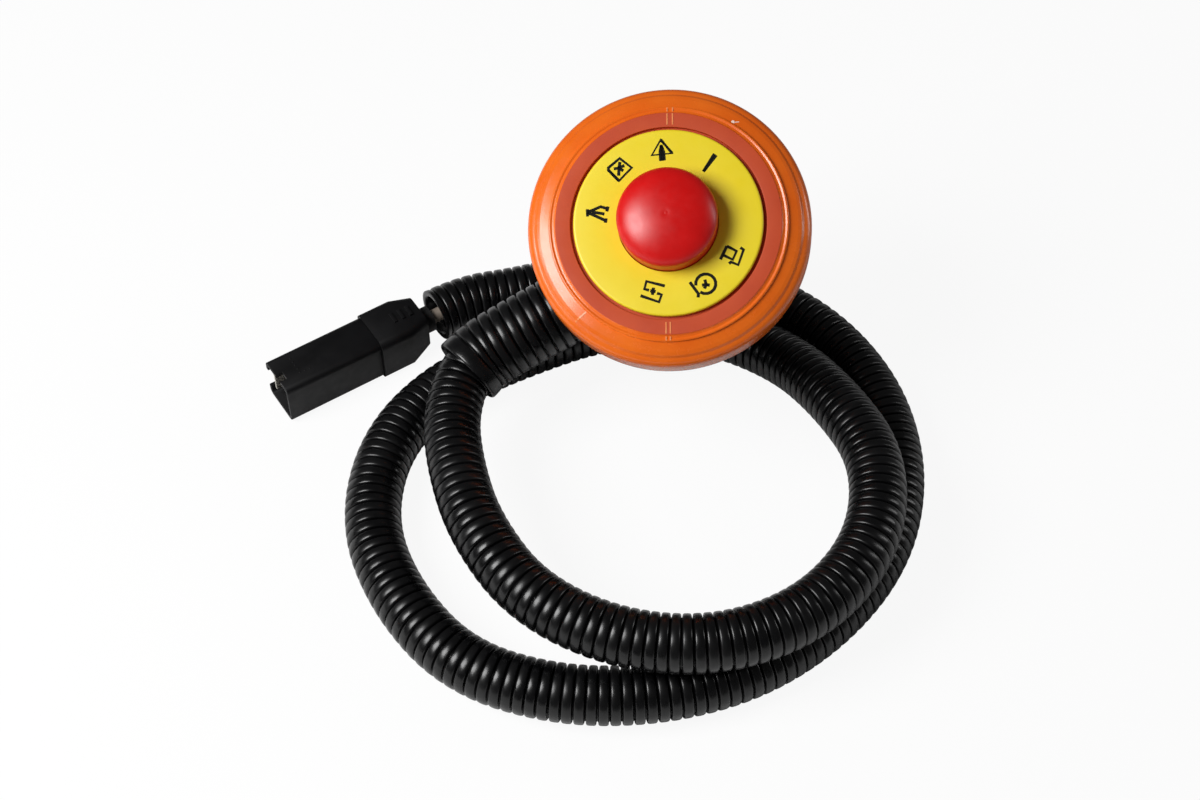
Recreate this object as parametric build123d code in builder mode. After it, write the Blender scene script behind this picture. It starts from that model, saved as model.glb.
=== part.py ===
"""Emergency stop push button on a corrugated conduit with a two-way plug.

Millimetres. +Z is up and +Y points away from the viewer. The origin is the centre of the
orange flange's rear plane. The head leans back towards the viewer; the conduit lies in a
loose double coil on the floor, which is at z = -FLOOR_DROP.
"""

import math
import os

from build123d import *

os.makedirs("parts", exist_ok=True)

# Head placement
HEAD_TILT = 29.3        # lean of the head's axis from vertical, degrees
HEAD_TURN = 9.6         # compass turn of that lean, degrees
FLOOR_DROP = 78.2       # height of the origin above the floor

# Orange flange: widths of its bands from the disc's pocket outwards, and heights that
# run along the head's axis from its rear plane
FLAT_W = 4.65
STEP_W = 2.15
BAND_W = 2.95
SHOULDER_W = 1.8
EDGE_W = 2.4
RIM_WALL = 3.2
RIM_HEIGHT = 7.4
EDGE_RISE = 3.0
SHOULDER_RISE = 1.3
BAND_RISE = 0.9
STEP_RISE = 0.9
FLAT_RISE = 0.5
SHELL = 2.9
WEB = 3.8
WEB_RIB = 0.8
RING_WALL_R = 28.0
RING_WALL = 2.5
WELL_PLAY = 1.65
WELL_DEPTH = 6.0
WELL_WEB = 3.5
WELL_WALL = 3.3

# Yellow disc
DISC_R = 29.65
DISC_PROUD = 1.0
DISC_T = 1.8
DISC_GAP = 1.0
DISC_CHAMFER = 0.6
DISC_PIN_R = 1.2
DISC_PIN_PITCH_R = 24.0
DISC_PIN_LONG = 1.5
RELIEF_W = 0.6
RELIEF_T = 1.0

# Red button
SKIRT_R = 15.55
SKIRT_WALL = 1.25
SKIRT_SUNK = 0.4        # depth of the skirt's foot below the disc's face
DOME_OVER = 0.15
DOME_FOOT = 21.6
DOME_LIP = 0.6
DOME_RISE = 6.0
DOME_WALL = 2.3
DOME_FULL = 0.5523      # handle share that gives a quarter ellipse
HUB_WALL = 3.4
HUB_FOOT = 18.0
SKIRT_CLEAR = 0.2

# Operator
RUN_CLEAR = 0.05
BARREL_R = 11.0
BARREL_PLAY = 0.25
BARREL_LONG = 15.0
COLLAR_LAP = 2.7
COLLAR_T = 1.6
STEM_R = 6.0
PIN_STEP = 1.5
PIN_LONG = 5.6
PIN_PLAY = 0.3
TIP_R = 2.5
TIP_TOP = -9.5
TIP_FOOT = -29.0
WASHER_LAP = 4.0
WASHER_T = 1.0
NUT_WALL = 2.5
NUT_T = 5.0
SPRING_R = 11.0
SPRING_WIRE = 1.2
SPRING_TURNS = 5
DETENT_W = 1.4

# Contact block
BLOCK_L = 30.0
BLOCK_W = 22.0
BLOCK_H = 29.0
BLOCK_ROOF = 3.5
BLOCK_COLLAR_W = 3.0
BLOCK_COLLAR_LONG = 4.5
CHAMBER_L = 24.0
STEM_PLAY = 0.5
LID_T = 2.0
STRIP_W = 5.0
STRIP_T = 0.8
STRIP_INNER = 6.0
STRIP_DROP = 7.8        # strips below the block's top
STUD_R = 1.6
STUD_T = 1.0
STUD_X = 8.0
TERMINAL_OUT = 3.0      # terminals beyond the block's ends
TERMINAL_SCREW_R = 1.5
TERMINAL_HEAD_R = 2.7
TERMINAL_HEAD_T = 2.0
STRIP_END = 2.5
LEDGE_END = 0.5
LEDGE_W = 8.0
LEDGE_T = 6.0
BRIDGE_L = 20.0
BRIDGE_SIDE = 1.6
BRIDGE_T = 1.0
BRIDGE_GAP = 0.05
CLIP_W = 2.0
CLIP_T = 1.0
BRIDGE_SPRING_PLAY = 0.8
BRIDGE_SPRING_WIRE = 0.7

# Rear cover
COVER_PLAY = 3.02
COVER_WALL = 2.6
COVER_LIP_T = 3.0
COVER_LIP_W = 5.5       # lip beyond the screws' circle
COVER_SHOULDER = -44.0
COVER_SLOPE = 6.5
COVER_NECK_LONG = 9.4
COVER_END_R = 17.5
GASKET_T = 1.0
GASKET_LAP = 0.5
BOSS_R = 4.2
BOSS_GAP = 0.3
SCREW_COUNT = 4
SCREW_R = 1.5
SCREW_HEAD_R = 3.0
SCREW_HEAD_T = 2.2
SCREW_REACH = 7.0
HEAD_RECESS = 1.0

# Conduit outlet
OUTLET_ANGLE = 207.6    # direction of the outlet round the head's axis, degrees
OUTLET_DEPTH = -25.5
OUTLET_WALL = 2.75
OUTLET_SOLID = 3.0      # from the cup's side to the socket's floor
SOCKET_DEPTH = 10.0
LEAD_HOLE_R = 7.0
GROMMET_LIP_W = 1.5
GROMMET_LIP_T = 1.5
WIRE_R = 1.1
WIRE_PITCH = 4.4

# Conduit
CONDUIT_D = 18.5
SLEEVE_PLAY = 0.35
SLEEVE_WALL = 2.65
SLEEVE_SHARE = 0.5      # share of the outlet bend that the sleeve covers
END_RECESS_R = 7.0
END_RECESS = 5.0

# Plug
PLUG_AXIS = (-0.838, -0.545)
BOX_W = 16.1
BOX_H = 16.9
BOX_FROM = 25.7
BOX_TO = 61.8
BOX_WALL = 1.4
BOX_ROUND = 2.2
MOUTH_DEPTH = 22.0
BODY_W = 17.9
BODY_H = 18.3
BODY_FROM = 6.5
BODY_FLAT = 7.5
TAIL_W = 13.6
TAIL_H = 14.8
TAIL_RISE = 1.0
BOOT_R = 4.6
BOOT_FROM = 2.4
LEAD_R = 2.4
SLOT_W = 8.6
SLOT_LONG = 7.0
NOTCH_W = 3.2
NOTCH_LONG = 2.6
BLADE_X = 4.6
BLADE_W = 0.9
BLADE_H = 8.0
BLADE_RECESS = 1.0
BLADE_ROOT = 3.0
RIB_COUNT = 3
RIB_PITCH = 3.0
RIB_W = 4.4
RIB_T = 0.5
RIB_BACK = 3.6          # first rib behind the straight collar
RIB_SINK = 1.0

FLOOR = -FLOOR_DROP
LAY = FLOOR + CONDUIT_D / 2

# Radii and heights that follow from the sizes above
pocket_r = DISC_R + DISC_GAP
flat_r = pocket_r + FLAT_W
step_r = flat_r + STEP_W
band_r = step_r + BAND_W
shoulder_r = band_r + SHOULDER_W
flange_r = shoulder_r + EDGE_W
rim_inner_r = flange_r - RIM_WALL
shoulder_top = RIM_HEIGHT + EDGE_RISE
band_foot = shoulder_top + SHOULDER_RISE
band_top = band_foot + BAND_RISE
step_top = band_top + STEP_RISE
flat_top = step_top + FLAT_RISE
web_under = flat_top - WEB - WEB_RIB
disc_top = flat_top + DISC_PROUD
disc_under = disc_top - DISC_T
well_floor = flat_top - WELL_DEPTH
well_under = well_floor - WELL_WEB
skirt_inner_r = SKIRT_R - SKIRT_WALL
skirt_foot = disc_top - SKIRT_SUNK
well_r = SKIRT_R + WELL_PLAY
well_outer_r = well_r + WELL_WALL
dome_r = SKIRT_R + DOME_OVER
pin_r = STEM_R - PIN_STEP
hub_r = pin_r + RUN_CLEAR + HUB_WALL
shaft_top = HUB_FOOT - 0.1
pin_top = shaft_top + PIN_LONG
barrel_foot = well_floor - BARREL_LONG
hole_r = BARREL_R + BARREL_PLAY
collar_r = BARREL_R + COLLAR_LAP
washer_r = BARREL_R + WASHER_LAP
detent_r = STEM_R + DETENT_W
block_collar_r = BARREL_R + BLOCK_COLLAR_W
block_top = barrel_foot
block_foot = block_top - BLOCK_H
chamber_w = 2 * (STEM_R + STEM_PLAY)
strip_top = block_top - STRIP_DROP
terminal_x = BLOCK_L / 2 + TERMINAL_OUT
strip_outer = terminal_x + STRIP_END
ledge_out = strip_outer + LEDGE_END
bridge_w = 2 * (TIP_R + BRIDGE_SIDE)
clip_r = TIP_R + CLIP_W
bridge_spring_r = TIP_R + BRIDGE_SPRING_PLAY + BRIDGE_SPRING_WIRE / 2
cover_inner_r = math.hypot(ledge_out, LEDGE_W / 2) + COVER_PLAY
cover_r = cover_inner_r + COVER_WALL
cover_neck = COVER_SHOULDER - COVER_SLOPE
cover_end = cover_neck - COVER_NECK_LONG
gasket_r = RING_WALL_R + GASKET_LAP
screw_pitch_r = RING_WALL_R + BOSS_R + BOSS_GAP
cover_lip_r = screw_pitch_r + COVER_LIP_W
sleeve_bore_r = CONDUIT_D / 2 + SLEEVE_PLAY
sleeve_r = sleeve_bore_r + SLEEVE_WALL
outlet_r = sleeve_r + OUTLET_WALL
grommet_lip_r = LEAD_HOLE_R + GROMMET_LIP_W
outlet_floor = cover_r + OUTLET_SOLID
outlet_reach = outlet_floor + SOCKET_DEPTH

tilt = math.radians(HEAD_TILT)
turn = math.radians(HEAD_TURN)
axis_dir = Vector(
    -math.sin(tilt) * math.sin(turn),
    -math.sin(tilt) * math.cos(turn),
    math.cos(tilt),
)
across = Vector(1, 0, 0) - axis_dir * axis_dir.X
HEAD = Plane(origin=(0, 0, 0), x_dir=across.normalized(), z_dir=axis_dir)
SIDE = Plane(origin=(0, 0, 0), x_dir=HEAD.x_dir, z_dir=-HEAD.y_dir)
HEAD_AXIS = Axis((0, 0, 0), axis_dir)
# The contact block is turned so that the outlet lies along its own -Y.
block_turn = math.radians(OUTLET_ANGLE + 90)
block_x = HEAD.x_dir * math.cos(block_turn) + HEAD.y_dir * math.sin(block_turn)
BLOCK = Plane(origin=(0, 0, 0), x_dir=block_x, z_dir=axis_dir)
outlet_dir = BLOCK.y_dir * -1
OUTLET = Plane(
    origin=axis_dir * OUTLET_DEPTH,
    x_dir=BLOCK.x_dir,
    z_dir=outlet_dir,
)


def ceiling(radius):
    """Height of the button's inner dome at a radius."""
    share = 1 - (radius / skirt_inner_r) ** 2
    return DOME_FOOT + (DOME_RISE - DOME_WALL) * math.sqrt(share)


def at_head(radius, height):
    """Point of the outlet's direction at a radius and height of the head."""
    return outlet_dir * radius + axis_dir * height


plug_dir = Vector(*PLUG_AXIS, 0).normalized()
PLUG_END = Vector(-79.6, 23.4, LAY)

# Centre line of the conduit, from the head's outlet to the plug's end
ROUTE = [
    at_head(outlet_floor, OUTLET_DEPTH),
    at_head(54.5, OUTLET_DEPTH),
    Vector(-66.2, -17.0, -46.0),
    Vector(-71.0, -35.3, -48.9),
    Vector(-68.4, -56.8, -47.8),
    Vector(-61.3, -80.4, -48.1),
    Vector(-44.5, -104.9, -49.9),
    Vector(-16.5, -119.5, -50.8),
    Vector(15.1, -122.1, -49.9),
    Vector(44.4, -109.2, -49.9),
    Vector(63.6, -84.1, -49.8),
    Vector(67.6, -52.0, -51.0),
    Vector(55.6, -23.7, -55.5),
    Vector(40.7, 2.7, -65.7),
    Vector(14.0, 18.8, LAY),
    Vector(-18.5, 20.3, LAY),
    Vector(-46.9, 8.5, LAY),
    Vector(-74.8, -7.1, LAY),
    Vector(-93.6, -31.7, LAY),
    Vector(-97.8, -64.2, LAY),
    Vector(-86.7, -93.1, LAY),
    Vector(-66.1, -117.6, LAY),
    Vector(-36.2, -128.1, LAY),
    Vector(-4.8, -128.2, LAY),
    Vector(25.5, -119.4, LAY),
    Vector(50.8, -100.9, LAY),
    Vector(69.5, -75.4, LAY),
    Vector(76.8, -44.8, LAY),
    Vector(72.8, -13.4, LAY),
    Vector(57.3, 14.1, LAY),
    Vector(32.3, 33.4, LAY),
    Vector(1.9, 41.8, LAY),
    Vector(-27.3, 41.0, LAY),
    Vector(-51.1, 33.5, LAY),
    PLUG_END - plug_dir * 12.0,
    PLUG_END,
]


def bend_radii(points):
    """Radius at each corner: tangent arcs that use 0.45 of the shorter run beside it."""
    radii = []
    for before, here, after in zip(points, points[1:], points[2:]):
        half = math.radians((here - before).get_angle(after - here)) / 2
        shorter = min((here - before).length, (after - here).length)
        radii.append(0.45 * shorter / math.tan(half))
    return radii


bends = bend_radii(ROUTE)
print("conduit bend radii:", [round(r, 1) for r in bends])

PLUG = Plane(
    origin=PLUG_END,
    x_dir=(-plug_dir.Y, plug_dir.X, 0),
    z_dir=plug_dir,
)

# Flange: one turned moulding, open at the back
with BuildPart() as flange_housing:
    with BuildSketch(SIDE):
        with BuildLine():
            Polyline(
                (rim_inner_r, 0),
                (flange_r, 0),
                (flange_r, RIM_HEIGHT),
            )
            TangentArc((flange_r, RIM_HEIGHT), (shoulder_r, shoulder_top), tangent=(0, 1))
            ThreePointArc(
                (shoulder_r, shoulder_top),
                ((shoulder_r + band_r) / 2 + 0.15, (shoulder_top + band_foot) / 2 + 0.2),
                (band_r, band_foot),
            )
            Polyline(
                (band_r, band_foot),
                (step_r, band_top),
                (step_r, step_top - 0.3),
                (step_r - 0.3, step_top),
                ((flat_r + step_r) / 2, step_top - 0.15),
                (flat_r + 0.35, step_top),
                (flat_r, flat_top),
                (pocket_r, flat_top),
                (pocket_r, disc_under - RELIEF_T),
                (DISC_R - RELIEF_W, disc_under - RELIEF_T),
                (DISC_R - RELIEF_W, disc_under),
                (well_r, disc_under),
                (well_r, well_floor),
                (hole_r, well_floor),
                (hole_r, well_under),
                (well_outer_r, well_under),
                (well_outer_r, web_under),
                (RING_WALL_R - RING_WALL, web_under),
                (RING_WALL_R - RING_WALL, 0),
                (RING_WALL_R, 0),
                (RING_WALL_R, web_under),
                (band_r - SHELL * 0.65, web_under),
                (rim_inner_r, RIM_HEIGHT - 0.9),
                (rim_inner_r, 0),
            )
        make_face()
    revolve(axis=HEAD_AXIS)
    # Screw bosses stand one gasket below the ring wall
    with BuildSketch(HEAD.offset(-GASKET_T)):
        with PolarLocations(screw_pitch_r, SCREW_COUNT, start_angle=45):
            Circle(BOSS_R)
    extrude(amount=flat_top - WEB + GASKET_T)
    with BuildSketch(HEAD.offset(-GASKET_T)):
        with PolarLocations(screw_pitch_r, SCREW_COUNT, start_angle=45):
            Circle(SCREW_R)
    extrude(amount=SCREW_REACH, mode=Mode.SUBTRACT)
    # Locating holes for the disc's pins
    with BuildSketch(HEAD.offset(disc_under)):
        with PolarLocations(DISC_PIN_PITCH_R, 2, start_angle=0):
            Circle(DISC_PIN_R)
    extrude(amount=-DISC_PIN_LONG, mode=Mode.SUBTRACT)
flange_housing.part.label = "flange_housing"

# Disc with two locating pins under it
with BuildPart() as label_disc:
    with BuildSketch(HEAD.offset(disc_under)):
        Circle(DISC_R)
        Circle(SKIRT_R + SKIRT_CLEAR, mode=Mode.SUBTRACT)
    extrude(amount=DISC_T)
    top_rims = label_disc.faces().sort_by(HEAD_AXIS)[-1].edges()
    chamfer(top_rims.sort_by(SortBy.LENGTH)[-1], length=DISC_CHAMFER)
    with BuildSketch(HEAD.offset(disc_under)):
        with PolarLocations(DISC_PIN_PITCH_R, 2, start_angle=0):
            Circle(DISC_PIN_R)
    extrude(amount=-DISC_PIN_LONG)
label_disc.part.label = "label_disc"

# Guide bush through the flange's hole
with BuildPart() as guide_bush:
    with BuildSketch(HEAD.offset(barrel_foot)):
        Circle(BARREL_R)
        Circle(STEM_R + RUN_CLEAR, mode=Mode.SUBTRACT)
    extrude(amount=well_floor - barrel_foot)
    with BuildSketch(HEAD.offset(well_floor)):
        Circle(collar_r)
        Circle(STEM_R + RUN_CLEAR, mode=Mode.SUBTRACT)
    extrude(amount=COLLAR_T)
    # Groove for the detent ring
    with BuildSketch(HEAD.offset(well_floor + COLLAR_T - 1.4)):
        Circle(detent_r)
        Circle(STEM_R, mode=Mode.SUBTRACT)
    extrude(amount=1.0, mode=Mode.SUBTRACT)
guide_bush.part.label = "guide_bush"

# Split ring of spring wire that holds the stem at either end of its stroke
with BuildPart() as detent_ring:
    with BuildSketch(HEAD.offset(well_floor + COLLAR_T - 1.3)):
        Circle(detent_r)
        Circle(STEM_R + 2 * RUN_CLEAR, mode=Mode.SUBTRACT)
        with Locations((detent_r, 0)):
            Rectangle(2 * detent_r, 1.6, mode=Mode.SUBTRACT)
    extrude(amount=0.8)
detent_ring.part.label = "detent_ring"

# Washer and nut under the web
with BuildPart() as bush_washer:
    with BuildSketch(HEAD.offset(well_under - WASHER_T)):
        Circle(washer_r)
        Circle(BARREL_R, mode=Mode.SUBTRACT)
    extrude(amount=WASHER_T)
bush_washer.part.label = "bush_washer"

with BuildPart() as bush_nut:
    with BuildSketch(HEAD.offset(well_under - WASHER_T)):
        RegularPolygon(BARREL_R + NUT_WALL, 6, major_radius=False)
        Circle(BARREL_R, mode=Mode.SUBTRACT)
    extrude(amount=-NUT_T)
bush_nut.part.label = "bush_nut"

# Button: domed shell with a hub
with BuildPart() as button_cap:
    with BuildSketch(SIDE):
        with BuildLine():
            Polyline(
                (0, DOME_FOOT + DOME_RISE),
                (0, pin_top + PIN_PLAY),
                (pin_r + RUN_CLEAR, pin_top + PIN_PLAY),
                (pin_r + RUN_CLEAR, HUB_FOOT),
                (hub_r, HUB_FOOT),
                (hub_r, ceiling(hub_r)),
            )
            ThreePointArc(
                (hub_r, ceiling(hub_r)),
                (SPRING_R, ceiling(SPRING_R)),
                (skirt_inner_r, DOME_FOOT),
            )
            Polyline(
                (skirt_inner_r, DOME_FOOT),
                (skirt_inner_r, skirt_foot),
                (SKIRT_R, skirt_foot),
                (SKIRT_R, DOME_FOOT - DOME_LIP),
                (dome_r, DOME_FOOT),
            )
            Bezier(
                (dome_r, DOME_FOOT),
                (dome_r, DOME_FOOT + DOME_FULL * DOME_RISE),
                (DOME_FULL * dome_r, DOME_FOOT + DOME_RISE),
                (0, DOME_FOOT + DOME_RISE),
            )
        make_face()
    revolve(axis=HEAD_AXIS)
button_cap.part.label = "button_cap"

# Stem: pin in the cap's hub, shaft in the bush, thin tip through the bridge
with BuildPart() as plunger:
    with BuildSketch(SIDE):
        with BuildLine():
            Polyline(
                (0, pin_top),
                (pin_r, pin_top),
                (pin_r, shaft_top),
                (STEM_R, shaft_top),
                (STEM_R, TIP_TOP),
                (TIP_R, TIP_TOP - 2.0),
                (TIP_R, TIP_FOOT),
                (0, TIP_FOOT),
                close=True,
            )
        make_face()
    revolve(axis=HEAD_AXIS)
plunger.part.label = "plunger"

# Return spring between the bush and the cap
spring_foot = well_floor + COLLAR_T + SPRING_WIRE / 2 + 0.02
spring_top = ceiling(SPRING_R + SPRING_WIRE / 2) - SPRING_WIRE / 2 - 0.25
with BuildPart() as return_spring:
    with BuildLine() as coil:
        Helix(
            pitch=(spring_top - spring_foot) / SPRING_TURNS,
            height=spring_top - spring_foot,
            radius=SPRING_R,
            center=axis_dir * spring_foot,
            direction=axis_dir,
        )
    with BuildSketch(Plane(origin=coil.wire() @ 0, z_dir=coil.wire() % 0)):
        Circle(SPRING_WIRE / 2)
    sweep(path=coil.wire(), is_frenet=True)
return_spring.part.label = "return_spring"

# Contact block with a collar round the bush's barrel
with BuildPart() as contact_block:
    with BuildSketch(BLOCK.offset(block_foot)):
        RectangleRounded(BLOCK_L, BLOCK_W, 2)
    extrude(amount=block_top - block_foot)
    with BuildSketch(BLOCK.offset(block_top)):
        Circle(block_collar_r)
        Circle(BARREL_R, mode=Mode.SUBTRACT)
    extrude(amount=BLOCK_COLLAR_LONG)
    # Ledges that carry the terminals
    with BuildSketch(BLOCK.offset(strip_top - STRIP_T - LEDGE_T)):
        Rectangle(2 * ledge_out, LEDGE_W)
    extrude(amount=LEDGE_T)
    # Chamber, open below for the lid
    with BuildSketch(BLOCK.offset(block_foot)):
        Rectangle(CHAMBER_L, chamber_w)
    extrude(amount=block_top - BLOCK_ROOF - block_foot, mode=Mode.SUBTRACT)
    # Hole for the stem
    with BuildSketch(BLOCK.offset(block_top)):
        Circle(STEM_R + 0.4)
    extrude(amount=-BLOCK_ROOF, mode=Mode.SUBTRACT)
    # Slots for the contact strips
    with BuildSketch(BLOCK.offset(strip_top)):
        Rectangle(2 * strip_outer, STRIP_W)
    extrude(amount=-STRIP_T, mode=Mode.SUBTRACT)
    # Terminal screw holes
    with BuildSketch(BLOCK.offset(strip_top)):
        with Locations((-terminal_x, 0), (terminal_x, 0)):
            Circle(TERMINAL_SCREW_R)
    extrude(amount=-5.0, mode=Mode.SUBTRACT)
contact_block.part.label = "contact_block"

with BuildPart() as block_lid:
    with BuildSketch(BLOCK.offset(block_foot)):
        RectangleRounded(BLOCK_L, BLOCK_W, 2)
    extrude(amount=-LID_T)
    with BuildSketch(BLOCK.offset(block_foot)):
        Rectangle(CHAMBER_L, chamber_w)
        Rectangle(CHAMBER_L - 3, chamber_w - 3, mode=Mode.SUBTRACT)
    extrude(amount=0.9)
block_lid.part.label = "block_lid"

with BuildPart() as fixed_contacts:
    with BuildSketch(BLOCK.offset(strip_top - STRIP_T)):
        for side in (-1, 1):
            with Locations((side * (STRIP_INNER + strip_outer) / 2, 0)):
                Rectangle(strip_outer - STRIP_INNER, STRIP_W)
        with Locations((-terminal_x, 0), (terminal_x, 0)):
            Circle(TERMINAL_SCREW_R, mode=Mode.SUBTRACT)
    extrude(amount=STRIP_T)
    with BuildSketch(BLOCK.offset(strip_top - STRIP_T)):
        with Locations((-STUD_X, 0), (STUD_X, 0)):
            Circle(STUD_R)
    extrude(amount=-STUD_T)
fixed_contacts.part.label = "fixed_contacts"

with BuildPart() as terminal_screws:
    with BuildSketch(BLOCK.offset(strip_top)):
        with Locations((-terminal_x, 0), (terminal_x, 0)):
            Circle(TERMINAL_HEAD_R)
    extrude(amount=TERMINAL_HEAD_T)
    with BuildSketch(BLOCK.offset(strip_top)):
        with Locations((-terminal_x, 0), (terminal_x, 0)):
            Circle(TERMINAL_SCREW_R)
    extrude(amount=-4.8)
    with BuildSketch(BLOCK.offset(strip_top + TERMINAL_HEAD_T)):
        with Locations((-terminal_x, 0), (terminal_x, 0)):
            Rectangle(2 * TERMINAL_HEAD_R, 0.7)
    extrude(amount=-0.7, mode=Mode.SUBTRACT)
terminal_screws.part.label = "terminal_screws"

bridge_top = strip_top - STRIP_T - STUD_T - BRIDGE_GAP
with BuildPart() as contact_bridge:
    with BuildSketch(BLOCK.offset(bridge_top)):
        SlotOverall(BRIDGE_L, bridge_w)
        Circle(TIP_R, mode=Mode.SUBTRACT)
    extrude(amount=-BRIDGE_T)
contact_bridge.part.label = "contact_bridge"

clip_top = TIP_FOOT + 1.5 + CLIP_T
with BuildPart() as stem_clip:
    with BuildSketch(BLOCK.offset(clip_top)):
        Circle(clip_r)
        Circle(TIP_R, mode=Mode.SUBTRACT)
    extrude(amount=-CLIP_T)
stem_clip.part.label = "stem_clip"

bridge_spring_long = bridge_top - BRIDGE_T - clip_top - BRIDGE_SPRING_WIRE - 0.04
with BuildPart() as bridge_spring:
    with BuildLine() as bridge_coil:
        Helix(
            pitch=bridge_spring_long / 5,
            height=bridge_spring_long,
            radius=bridge_spring_r,
            center=axis_dir * (clip_top + BRIDGE_SPRING_WIRE / 2 + 0.02),
            direction=axis_dir,
        )
    with BuildSketch(Plane(origin=bridge_coil.wire() @ 0, z_dir=bridge_coil.wire() % 0)):
        Circle(BRIDGE_SPRING_WIRE / 2)
    sweep(path=bridge_coil.wire(), is_frenet=True)
bridge_spring.part.label = "bridge_spring"

# Rear cover: cup with a lip, a stepped end and the outlet boss
with BuildPart() as rear_cover:
    with BuildSketch(SIDE):
        with BuildLine():
            Polyline(
                (0, cover_end),
                (COVER_END_R, cover_end),
                (COVER_END_R, cover_neck),
                (cover_r, COVER_SHOULDER),
                (cover_r, -GASKET_T - COVER_LIP_T),
                (cover_lip_r, -GASKET_T - COVER_LIP_T),
                (cover_lip_r, -GASKET_T),
                (0, -GASKET_T),
                close=True,
            )
        make_face()
    revolve(axis=HEAD_AXIS)
    with BuildSketch(OUTLET):
        Circle(outlet_r)
    extrude(amount=outlet_reach)
    with BuildSketch(SIDE):
        with BuildLine():
            Polyline(
                (0, cover_end + COVER_WALL),
                (COVER_END_R - COVER_WALL, cover_end + COVER_WALL),
                (COVER_END_R - COVER_WALL, cover_neck + 1.2),
                (cover_inner_r, COVER_SHOULDER + 1.2),
                (cover_inner_r, -GASKET_T),
                (0, -GASKET_T),
                close=True,
            )
        make_face()
    revolve(axis=HEAD_AXIS, mode=Mode.SUBTRACT)
    # Socket for the sleeve and the hole for the leads
    with BuildSketch(OUTLET.offset(outlet_floor)):
        Circle(sleeve_r)
    extrude(amount=outlet_reach - outlet_floor, mode=Mode.SUBTRACT)
    with BuildSketch(OUTLET):
        Circle(LEAD_HOLE_R)
    extrude(amount=outlet_floor, mode=Mode.SUBTRACT)
    # Screw holes with shallow seats
    with BuildSketch(HEAD.offset(-GASKET_T)):
        with PolarLocations(screw_pitch_r, SCREW_COUNT, start_angle=45):
            Circle(SCREW_R)
    extrude(amount=-COVER_LIP_T, mode=Mode.SUBTRACT)
    with BuildSketch(HEAD.offset(-GASKET_T - COVER_LIP_T)):
        with PolarLocations(screw_pitch_r, SCREW_COUNT, start_angle=45):
            Circle(SCREW_HEAD_R)
    extrude(amount=HEAD_RECESS, mode=Mode.SUBTRACT)
rear_cover.part.label = "rear_cover"

with BuildPart() as cover_gasket:
    with BuildSketch(HEAD.offset(-GASKET_T)):
        Circle(gasket_r)
        Circle(RING_WALL_R - RING_WALL, mode=Mode.SUBTRACT)
        with PolarLocations(screw_pitch_r, SCREW_COUNT, start_angle=45):
            Circle(BOSS_R, mode=Mode.SUBTRACT)
    extrude(amount=GASKET_T)
cover_gasket.part.label = "cover_gasket"

seat = -GASKET_T - COVER_LIP_T + HEAD_RECESS
with BuildPart() as cover_screws:
    with BuildSketch(HEAD.offset(seat)):
        with PolarLocations(screw_pitch_r, SCREW_COUNT, start_angle=45):
            Circle(SCREW_HEAD_R)
    extrude(amount=-SCREW_HEAD_T)
    with BuildSketch(HEAD.offset(seat)):
        with PolarLocations(screw_pitch_r, SCREW_COUNT, start_angle=45):
            Circle(SCREW_R)
    extrude(amount=-seat - GASKET_T + SCREW_REACH)
    with BuildSketch(HEAD.offset(seat - SCREW_HEAD_T)):
        with PolarLocations(screw_pitch_r, SCREW_COUNT, start_angle=45):
            Rectangle(3.4, 0.9)
            Rectangle(0.9, 3.4)
    extrude(amount=1.3, mode=Mode.SUBTRACT)
cover_screws.part.label = "cover_screws"

# Grommet in the lead hole
lip_seat = math.sqrt((cover_inner_r) ** 2 - grommet_lip_r ** 2)
with BuildPart() as wire_grommet:
    with BuildSketch(OUTLET.offset(lip_seat - GROMMET_LIP_T)):
        Circle(grommet_lip_r)
    extrude(amount=GROMMET_LIP_T)
    with BuildSketch(OUTLET.offset(lip_seat)):
        Circle(LEAD_HOLE_R)
    extrude(amount=outlet_floor - lip_seat)
    with BuildSketch(OUTLET):
        with Locations((-WIRE_PITCH / 2, 0), (WIRE_PITCH / 2, 0)):
            Circle(WIRE_R)
    extrude(amount=outlet_floor, mode=Mode.SUBTRACT)
wire_grommet.part.label = "wire_grommet"


def lead_points(side):
    """One lead from a terminal to the conduit's mouth, in the block's own frame."""
    wire_height = strip_top + WIRE_R + 0.05
    free = cover_inner_r - BLOCK_W / 2
    stops = [
        (side * terminal_x, -TERMINAL_HEAD_R - 0.02, wire_height),
        (side * terminal_x, -BLOCK_W / 2 - 1.0, wire_height),
        (side * terminal_x / 2, -BLOCK_W / 2 - 0.45 * free, OUTLET_DEPTH + 3.5),
        (side * WIRE_PITCH / 2, -BLOCK_W / 2 - 0.63 * free, OUTLET_DEPTH),
        (side * WIRE_PITCH / 2, -outlet_floor, OUTLET_DEPTH),
    ]
    return [BLOCK.from_local_coords(Vector(*stop)) for stop in stops]


with BuildPart() as lead_brown:
    with BuildLine() as brown_line:
        FilletPolyline(*lead_points(-1), radius=1.8)
    with BuildSketch(Plane(origin=brown_line.wire() @ 0, z_dir=brown_line.wire() % 0)):
        Circle(WIRE_R)
    sweep(path=brown_line.wire())
lead_brown.part.label = "lead_brown"

with BuildPart() as lead_blue:
    with BuildLine() as blue_line:
        FilletPolyline(*lead_points(1), radius=1.8)
    with BuildSketch(Plane(origin=blue_line.wire() @ 0, z_dir=blue_line.wire() % 0)):
        Circle(WIRE_R)
    sweep(path=blue_line.wire())
lead_blue.part.label = "lead_blue"

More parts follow.
